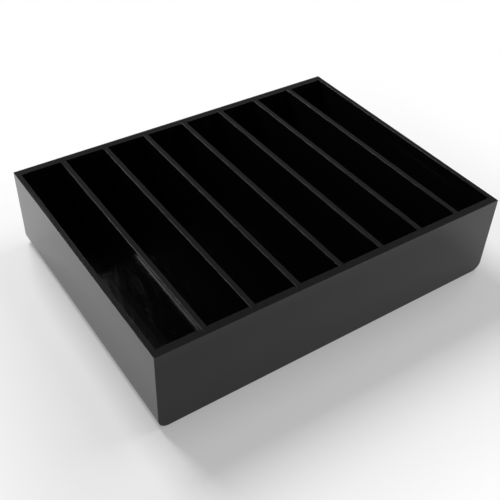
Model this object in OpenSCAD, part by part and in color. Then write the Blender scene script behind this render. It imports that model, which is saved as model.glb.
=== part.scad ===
// Open counter tray of black acrylic: one sheet bent up at both sides, closed by a front and a back panel,
// with upright dividers cemented into grooves.
// The origin is at the middle of the underside, +X runs along the front to the right and +Y to the back.

/* [Tray] */
// Outside width from side to side
tray_w = 222; // [140:1:360]
// Outside depth from front to back
tray_d = 168; // [100:1:280]
// Height of the walls above the surface that the tray stands on
tray_h = 52; // [30:1:90]

/* [Sheets] */
// Thickness of the bent sheet, which makes the floor and the two sides
base_t = 3; // [2:0.5:5]
// Inside radius of its two bends
bend_r = 3; // [1:0.5:5]
// Thickness of the front and back panels
panel_t = 4.5; // [2:0.5:6]
// Radius of the broken edges of every sheet
arris_r = 0.1; // [0.05:0.05:0.5]

/* [Dividers] */
// Number of equal compartments across the tray
compartments = 8; // [2:1:10]
// Thickness of a divider
divider_t = 3; // [2:0.5:5]
// Depth of the grooves that hold the dividers
groove_depth = 1; // [0.5:0.1:1.5]
// Clearance at each side and each end of a divider in its grooves
groove_clearance = 0.1; // [0.05:0.05:0.3]

/* [Hidden] */
$fn = 64;

// How far a shape that only limits another one runs past it
overrun = 1;

acrylic = [0.04, 0.04, 0.045];

inside_w = tray_w - 2 * base_t;
inside_d = tray_d - 2 * panel_t;

outer_bend_r = base_t + bend_r;
flat_w = tray_w - 2 * outer_bend_r;

dividers = compartments - 1;
compartment_w = (inside_w - dividers * divider_t) / compartments;
divider_pitch = compartment_w + divider_t;
divider_foot = base_t - groove_depth;
divider_h = tray_h - divider_foot;

groove_w = divider_t + 2 * groove_clearance;
groove_l = inside_d + 2 * groove_depth;
divider_l = groove_l - 2 * groove_clearance;

// Middle of a divider, counted from the left
function divider_x(i) = -inside_w / 2 + i * divider_pitch - divider_t / 2;

// Upright outline that stands on the X axis, with one radius for its lower corners and one for its upper ones
module upright_outline(w, h, low_r, top_r) {
    translate([-w / 2 + low_r, 0]) square([w - 2 * low_r, low_r]);
    translate([-w / 2, low_r]) square([w, h - low_r - top_r]);
    translate([-w / 2 + top_r, h - top_r]) square([w - 2 * top_r, top_r]);
    for (side = [-1, 1]) {
        translate([side * (w / 2 - low_r), low_r]) circle(low_r);
        translate([side * (w / 2 - top_r), h - top_r]) circle(top_r);
    }
}

// Upright outline drawn out along X, its middle at the origin
module along_x(length) {
    rotate([90, 0, 90]) linear_extrude(length, center = true) children();
}

// Upright outline drawn out along Y, its middle at the origin
module along_y(length) {
    rotate([90, 0, 0]) linear_extrude(length, center = true) children();
}

// Quarter of a ring, to the right of its middle and below it
module bend_section() {
    intersection() {
        difference() {
            circle(outer_bend_r);
            circle(bend_r);
        }
        translate([0, -outer_bend_r]) square(outer_bend_r);
    }
}

// Side of the bent sheet above its bend, with broken upper edges
module side_section() {
    intersection() {
        upright_outline(base_t, tray_h, arris_r, arris_r);
        translate([-base_t, outer_bend_r]) square([2 * base_t, tray_h]);
    }
}

// The bent sheet seen from the front: its floor, and on each side a bend and an upright side
module bent_section() {
    translate([-flat_w / 2, 0]) square([flat_w, base_t]);
    for (side = [0, 1])
        mirror([side, 0]) {
            translate([flat_w / 2, outer_bend_r]) bend_section();
            translate([(tray_w - base_t) / 2, 0]) side_section();
        }
}

// Room for the dividers in the floor and in the front and back panels
module divider_grooves() {
    for (i = [1 : dividers])
        translate([divider_x(i) - groove_w / 2, -groove_l / 2, divider_foot])
            cube([groove_w, groove_l, tray_h]);
}

module base_sheet() {
    color(acrylic) difference() {
        along_y(inside_d) bent_section();
        divider_grooves();
    }
}

// Front panel seen from the left, with broken edges but a square one that lies flush on the floor
module panel_section() {
    upright_outline(panel_t, tray_h, arris_r, arris_r);
    square([panel_t / 2, arris_r]);
}

// Front panel seen from above, with broken outer edges and square ones that lie flush on the sides
module panel_plan() {
    upright_outline(tray_w, panel_t, arris_r, arris_r);
    translate([-tray_w / 2, panel_t / 2]) square([tray_w, panel_t / 2]);
}

// Front panel for side 0, with lower corners that follow the bends, and its mirror image at the back for side 1
module end_panel(side) {
    color(acrylic) mirror([0, side, 0]) difference() {
        translate([0, (panel_t - tray_d) / 2, 0]) intersection() {
            along_y(panel_t + 2 * overrun) upright_outline(tray_w, tray_h, outer_bend_r, arris_r);
            along_x(tray_w + 2 * overrun) panel_section();
            translate([0, -panel_t / 2, -overrun]) linear_extrude(tray_h + 2 * overrun) panel_plan();
        }
        divider_grooves();
    }
}

module divider(i) {
    color(acrylic) translate([divider_x(i), 0, divider_foot])
        along_y(divider_l) upright_outline(divider_t, divider_h, arris_r, arris_r);
}

base_sheet();
end_panel(0);  // front_panel
end_panel(1);  // back_panel
for (i = [1 : dividers])
    divider(i);
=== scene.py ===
"""Looks of the counter tray: gloss black acrylic sheets on a pale floor in soft studio light."""
import math

import bpy
from mathutils import Matrix, Vector


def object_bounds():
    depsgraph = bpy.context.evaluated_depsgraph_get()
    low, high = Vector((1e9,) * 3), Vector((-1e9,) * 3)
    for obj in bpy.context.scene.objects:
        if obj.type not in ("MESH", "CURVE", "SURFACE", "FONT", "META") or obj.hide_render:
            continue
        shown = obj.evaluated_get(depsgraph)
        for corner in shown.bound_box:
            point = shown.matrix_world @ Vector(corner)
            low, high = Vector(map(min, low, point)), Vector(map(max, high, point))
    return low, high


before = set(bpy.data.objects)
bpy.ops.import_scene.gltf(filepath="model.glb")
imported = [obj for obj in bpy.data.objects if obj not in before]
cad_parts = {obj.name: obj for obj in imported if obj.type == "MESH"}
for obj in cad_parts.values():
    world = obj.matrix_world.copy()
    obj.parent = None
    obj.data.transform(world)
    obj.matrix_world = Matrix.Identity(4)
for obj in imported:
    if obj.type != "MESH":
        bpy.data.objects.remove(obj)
cad_low, cad_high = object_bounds()

MM = 0.001

# Camera, in metres and degrees
CAMERA_PLACE = Vector((-0.2137, -0.2998, 0.3220))
CAMERA_AIM = Vector((-0.0157, -0.0206, 0.0260))
CAMERA_ROLL = 2.24
CAMERA_LENS = 57.18

# Studio floor, in metres; its own light grows with the distance from the tray
FLOOR_DROP = 0.3 * MM
FLOOR_R = 1.4
RIM_R = 0.9
STUDIO_SEGMENTS = 96
RIM_STEPS = 16
FLOOR_COLOUR = (0.94, 0.94, 0.94, 1.0)
GLOW_NEAR = 0.26
GLOW_FAR = 1.0
GLOW_START = 40 * MM
GLOW_END = 130 * MM

# Light, in metres, degrees and watts
WORLD_LIGHT = 0.18
LAMP_DISTANCE = 1.1
# For each lamp its turn from the back to the right, its lift from the floor, its width and its power
LAMPS = {
    "back_softbox": (-8, 50, 0.44, 9.2),
    "right_softbox": (92, 56, 0.55, 2.9),
}

# Upward part of a face's normal from which the face starts to count as level, and where it counts in full
LEVEL_FROM = 0.5
LEVEL_FULL = 0.9

# Range that the soft noise keeps to for the most part
NOISE_LOW = 0.3
NOISE_HIGH = 0.7

# Acrylic sheet: its roughness where it is clean, and the long waves in its surface
ACRYLIC_BLACK = (0.0045, 0.0045, 0.0048, 1.0)
ACRYLIC_IOR = 1.49
CLEAN_ROUGH = 0.06
WAVE_LENGTH = 60 * MM
WAVE_HEIGHT = 0.08 * MM

# Rubbed patches: the levels of noise at which one starts and is full, and its roughness
RUBBED_SIZE = 40 * MM
RUBBED_FROM = 0.48
RUBBED_FULL = 0.72
RUBBED_ROUGH = 0.12

# Hairline scratches: their tilts on upright faces in degrees, and what they add to the roughness
HAIRLINE_W = 0.8 * MM
HAIRLINE_L = 36 * MM
HAIRLINE_TILTS = (14, -32, 3)
HAIRLINE_FROM = 0.70
HAIRLINE_FULL = 0.75
HAIRLINE_ROUGH = 0.12

# Scraped upper edges: how far they reach down from the top, and the lines that run along them
EDGE_BAND = 0.25 * MM
LINE_W = 0.33 * MM
LINE_L = 33 * MM
LINE_ROUGH = 0.11

# Depth of the scratches and of the scraped lines
MARK_DEPTH = 0.0024 * MM

# Dust: the distance between places for a speck, the share of them that is empty, and the largest speck
DUST_GREY = (0.16, 0.155, 0.15, 1.0)
DUST_ROUGH = 0.8
DUST_SPACING = 2.4 * MM
DUST_EMPTY = 0.72
SPECK_R = 0.29 * MM


class Graph:
    """Node tree of one material or world, with short ways to add and join nodes."""

    def __init__(self, owner):
        owner.use_nodes = True
        self.tree = owner.node_tree
        self.tree.nodes.clear()

    def feed(self, socket, value):
        """Join a socket to another one, or set its value."""
        if isinstance(value, bpy.types.NodeSocket):
            self.tree.links.new(value, socket)
        else:
            socket.default_value = value

    def node(self, kind, inputs=None, **settings):
        """Add a node with these settings and inputs."""
        made = self.tree.nodes.new(kind)
        for name, value in settings.items():
            setattr(made, name, value)
        for name, value in (inputs or {}).items():
            self.feed(made.inputs[name], value)
        return made

    def math(self, operation, first, second=0.0):
        """One step of arithmetic."""
        return self.node("ShaderNodeMath", {0: first, 1: second}, operation=operation).outputs[0]

    def vector(self, operation, first, second=(0, 0, 0)):
        """One step of arithmetic on vectors."""
        made = self.node("ShaderNodeVectorMath", {0: first, 1: second}, operation=operation)
        return made.outputs["Vector"]

    def height(self, vector):
        """Upward part of a vector."""
        return self.node("ShaderNodeSeparateXYZ", {"Vector": vector}).outputs["Z"]

    def ramp(self, value, low, high, to_low=0.0, to_high=1.0):
        """Value taken smoothly from the range low to high into another range, and held at its ends."""
        inputs = {"Value": value, "From Min": low, "From Max": high, "To Min": to_low, "To Max": to_high}
        return self.node("ShaderNodeMapRange", inputs, interpolation_type="SMOOTHSTEP").outputs["Result"]

    def place(self, stretch=1.0, turn=(0, 0, 0)):
        """Point on the object in metres, for a texture that is drawn out along X and then turned."""
        point = self.node("ShaderNodeTexCoord").outputs["Object"]
        angles = [math.radians(angle) for angle in turn]
        inputs = {"Vector": point, "Scale": (stretch, 1, 1), "Rotation": angles}
        return self.node("ShaderNodeMapping", inputs, vector_type="TEXTURE").outputs["Vector"]

    def noise(self, point, size, detail=2.0, distortion=0.0):
        """Soft random value, with features of about this size."""
        inputs = {"Vector": point, "Scale": 1 / size, "Detail": detail, "Distortion": distortion}
        return self.node("ShaderNodeTexNoise", inputs).outputs["Fac"]

    # Sockets of the mixing node go by number, because it repeats their names for each kind of value
    def blend(self, share, first, second):
        """Value that goes from the first to the second as the share goes from 0 to 1."""
        return self.node("ShaderNodeMix", {0: share, 2: first, 3: second}).outputs[0]

    def blend_colour(self, share, first, second):
        """The same for colours."""
        return self.node("ShaderNodeMix", {0: share, 6: first, 7: second}, data_type="RGBA").outputs[2]

    def relief(self, height, depth, under=None):
        """Normal of a relief of this depth, on top of another one."""
        inputs = {"Strength": 1.0, "Distance": depth, "Height": height}
        if under is not None:
            inputs["Normal"] = under
        return self.node("ShaderNodeBump", inputs).outputs["Normal"]


def rubbed_patches(graph):
    """Cloudy patches where hands have rubbed the gloss, from 0 to 1."""
    cloud = graph.noise(graph.place(), RUBBED_SIZE, detail=5.0, distortion=1.2)
    return graph.ramp(cloud, low=RUBBED_FROM, high=RUBBED_FULL)


def hairlines(graph, heading):
    """Fine straight scratches at a few angles, from 0 to 1."""
    scratches = 0.0
    for tilt in HAIRLINE_TILTS:
        point = graph.place(HAIRLINE_L / HAIRLINE_W, turn=(0, tilt, heading))
        streaks = graph.ramp(graph.noise(point, HAIRLINE_W), low=HAIRLINE_FROM, high=HAIRLINE_FULL)
        scratches = graph.math("MAXIMUM", scratches, streaks)
    return scratches


def scraped_edge(graph, upward, heading):
    """Scraped upper edge of a sheet: its mask, and the lines that run along it."""
    top = graph.math("GREATER_THAN", graph.height(graph.place()), cad_high.z - EDGE_BAND)
    mask = graph.math("MULTIPLY", top, upward)
    lines = graph.noise(graph.place(LINE_L / LINE_W, turn=(0, 0, heading)), LINE_W, detail=3.0)
    return mask, lines


def dust(graph, where):
    """Specks that have settled where the mask is 1, from 0 to 1."""
    cells = graph.node("ShaderNodeTexVoronoi", {"Vector": graph.place(), "Scale": 1 / DUST_SPACING})
    pick = graph.node("ShaderNodeSeparateColor", {"Color": cells.outputs["Color"]}).outputs["Red"]
    size = graph.ramp(pick, low=DUST_EMPTY, high=1.0, to_high=SPECK_R / DUST_SPACING)
    speck = graph.math("LESS_THAN", cells.outputs["Distance"], size)
    return graph.math("MULTIPLY", speck, where)


def acrylic(name, heading):
    """Gloss black sheet with its marks, whose upper edges run at a heading, in degrees from X towards Y."""
    material = bpy.data.materials.new(name)
    graph = Graph(material)
    normal = graph.node("ShaderNodeNewGeometry").outputs["Normal"]
    upward = graph.ramp(graph.height(normal), low=LEVEL_FROM, high=LEVEL_FULL)
    edge, lines = scraped_edge(graph, upward, heading)
    specks = dust(graph, graph.math("SUBTRACT", upward, edge))
    scratches = hairlines(graph, heading)

    gloss = graph.blend(rubbed_patches(graph), CLEAN_ROUGH, RUBBED_ROUGH)
    gloss = graph.math("ADD", gloss, graph.math("MULTIPLY", scratches, HAIRLINE_ROUGH))
    scraped = graph.ramp(lines, low=NOISE_LOW, high=NOISE_HIGH, to_low=CLEAN_ROUGH, to_high=LINE_ROUGH)
    rough = graph.blend(edge, gloss, scraped)
    rough = graph.math("MAXIMUM", rough, graph.math("MULTIPLY", specks, DUST_ROUGH))

    waves = graph.relief(graph.noise(graph.place(), WAVE_LENGTH, detail=1.0), WAVE_HEIGHT)
    marks = graph.math("SUBTRACT", graph.math("MULTIPLY", lines, edge), scratches)

    shader = graph.node("ShaderNodeBsdfPrincipled", {
        "Base Color": graph.blend_colour(specks, ACRYLIC_BLACK, DUST_GREY),
        "Roughness": rough,
        "IOR": ACRYLIC_IOR,
        "Normal": graph.relief(marks, MARK_DEPTH, under=waves),
    })
    graph.node("ShaderNodeOutputMaterial", {"Surface": shader.outputs["BSDF"]})
    return material


def dress(material, nodes):
    """Give the same material to several nodes of the model."""
    for name in nodes:
        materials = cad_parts[name].data.materials
        materials.clear()
        materials.append(material)


def dress_tray():
    """One acrylic for the sheets whose upper edges run from front to back, and one for the others."""
    dividers = [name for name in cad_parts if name.startswith("divider_")]
    dress(acrylic("acrylic_front_to_back", heading=90), ["base_sheet", *dividers])
    dress(acrylic("acrylic_across", heading=0), ["front_panel", "back_panel"])


def studio_floor():
    """Round floor that curves up to a low rim all round, so that no edge of it shows."""
    rings = [(FLOOR_R, -FLOOR_DROP)]
    for step in range(1, RIM_STEPS + 1):
        angle = math.pi / 2 * step / RIM_STEPS
        rings.append((FLOOR_R + RIM_R * math.sin(angle), RIM_R * (1 - math.cos(angle)) - FLOOR_DROP))
    verts = [(0.0, 0.0, -FLOOR_DROP)]
    for radius, height in rings:
        for segment in range(STUDIO_SEGMENTS):
            angle = 2 * math.pi * segment / STUDIO_SEGMENTS
            verts.append((radius * math.cos(angle), radius * math.sin(angle), height))
    faces = []
    for segment in range(STUDIO_SEGMENTS):
        after = (segment + 1) % STUDIO_SEGMENTS
        faces.append((0, 1 + segment, 1 + after))
        for ring in range(len(rings) - 1):
            low = 1 + ring * STUDIO_SEGMENTS
            high = low + STUDIO_SEGMENTS
            faces.append((low + segment, high + segment, high + after, low + after))
    mesh = bpy.data.meshes.new("studio_floor")
    mesh.from_pydata(verts, [], faces)
    mesh.polygons.foreach_set("use_smooth", [True] * len(faces))
    floor = bpy.data.objects.new("studio_floor", mesh)
    bpy.context.scene.collection.objects.link(floor)
    mesh.materials.append(floor_material())


def tray_distance(graph):
    """Level distance of a point on the floor from the tray's outline, in metres."""
    point = graph.node("ShaderNodeNewGeometry").outputs["Position"]
    aside = graph.vector("ABSOLUTE", graph.vector("MULTIPLY", point, (1, 1, 0)))
    beyond = graph.vector("SUBTRACT", aside, (cad_high.x, cad_high.y, 0))
    beyond = graph.vector("MAXIMUM", beyond, (0, 0, 0))
    return graph.node("ShaderNodeVectorMath", {0: beyond}, operation="LENGTH").outputs["Value"]


def floor_material():
    """Matt pale floor, seen and reflected as white away from the tray, and open when seen from below."""
    material = bpy.data.materials.new("studio_floor")
    graph = Graph(material)
    path = graph.node("ShaderNodeLightPath").outputs
    seen = graph.math("MAXIMUM", path["Is Camera Ray"], path["Is Glossy Ray"])
    seen = graph.math("MAXIMUM", seen, path["Is Transmission Ray"])
    matt = graph.node("ShaderNodeBsdfDiffuse", {"Color": FLOOR_COLOUR}).outputs["BSDF"]
    glow = graph.node("ShaderNodeEmission", {"Strength": 1.0}).outputs["Emission"]
    away = tray_distance(graph)
    whiteness = graph.ramp(away, low=GLOW_START, high=GLOW_END, to_low=GLOW_NEAR, to_high=GLOW_FAR)
    share = graph.math("MULTIPLY", seen, whiteness)
    top = graph.node("ShaderNodeMixShader", {0: share, 1: matt, 2: glow}).outputs["Shader"]
    below = graph.node("ShaderNodeNewGeometry").outputs["Backfacing"]
    clear = graph.node("ShaderNodeBsdfTransparent").outputs["BSDF"]
    both = graph.node("ShaderNodeMixShader", {0: below, 1: top, 2: clear}).outputs["Shader"]
    graph.node("ShaderNodeOutputMaterial", {"Surface": both})
    return material


def softbox(name, turn, lift, size, watts):
    """Square area lamp that faces the tray from a direction."""
    lamp = bpy.data.lights.new(name, "AREA")
    lamp.shape = "SQUARE"
    lamp.size = size
    lamp.energy = watts
    box = bpy.data.objects.new(name, lamp)
    turn, lift = math.radians(turn), math.radians(lift)
    flat = math.cos(lift)
    box.location = LAMP_DISTANCE * Vector((math.sin(turn) * flat, math.cos(turn) * flat, math.sin(lift)))
    box.rotation_euler = (-box.location).to_track_quat("-Z", "Y").to_euler()
    bpy.context.scene.collection.objects.link(box)


def light_studio():
    """Even world light and the soft lamps."""
    world = bpy.data.worlds.new("studio_world")
    graph = Graph(world)
    colour = (WORLD_LIGHT, WORLD_LIGHT, WORLD_LIGHT, 1.0)
    back = graph.node("ShaderNodeBackground", {"Color": colour, "Strength": 1.0})
    graph.node("ShaderNodeOutputWorld", {"Surface": back.outputs["Background"]})
    bpy.context.scene.world = world
    for name, (turn, lift, size, watts) in LAMPS.items():
        softbox(name, turn, lift, size, watts)


def add_camera():
    """Camera at the picture's viewing angle."""
    data = bpy.data.cameras.new("camera")
    data.lens = CAMERA_LENS
    camera = bpy.data.objects.new("camera", data)
    turn = (CAMERA_AIM - CAMERA_PLACE).to_track_quat("-Z", "Y").to_matrix()
    roll = Matrix.Rotation(math.radians(CAMERA_ROLL), 3, "Z")
    camera.matrix_world = Matrix.Translation(CAMERA_PLACE) @ (turn @ roll).to_4x4()
    bpy.context.scene.collection.objects.link(camera)
    bpy.context.scene.camera = camera


bpy.context.scene.view_settings.view_transform = "Standard"
add_camera()
studio_floor()
light_studio()
dress_tray()
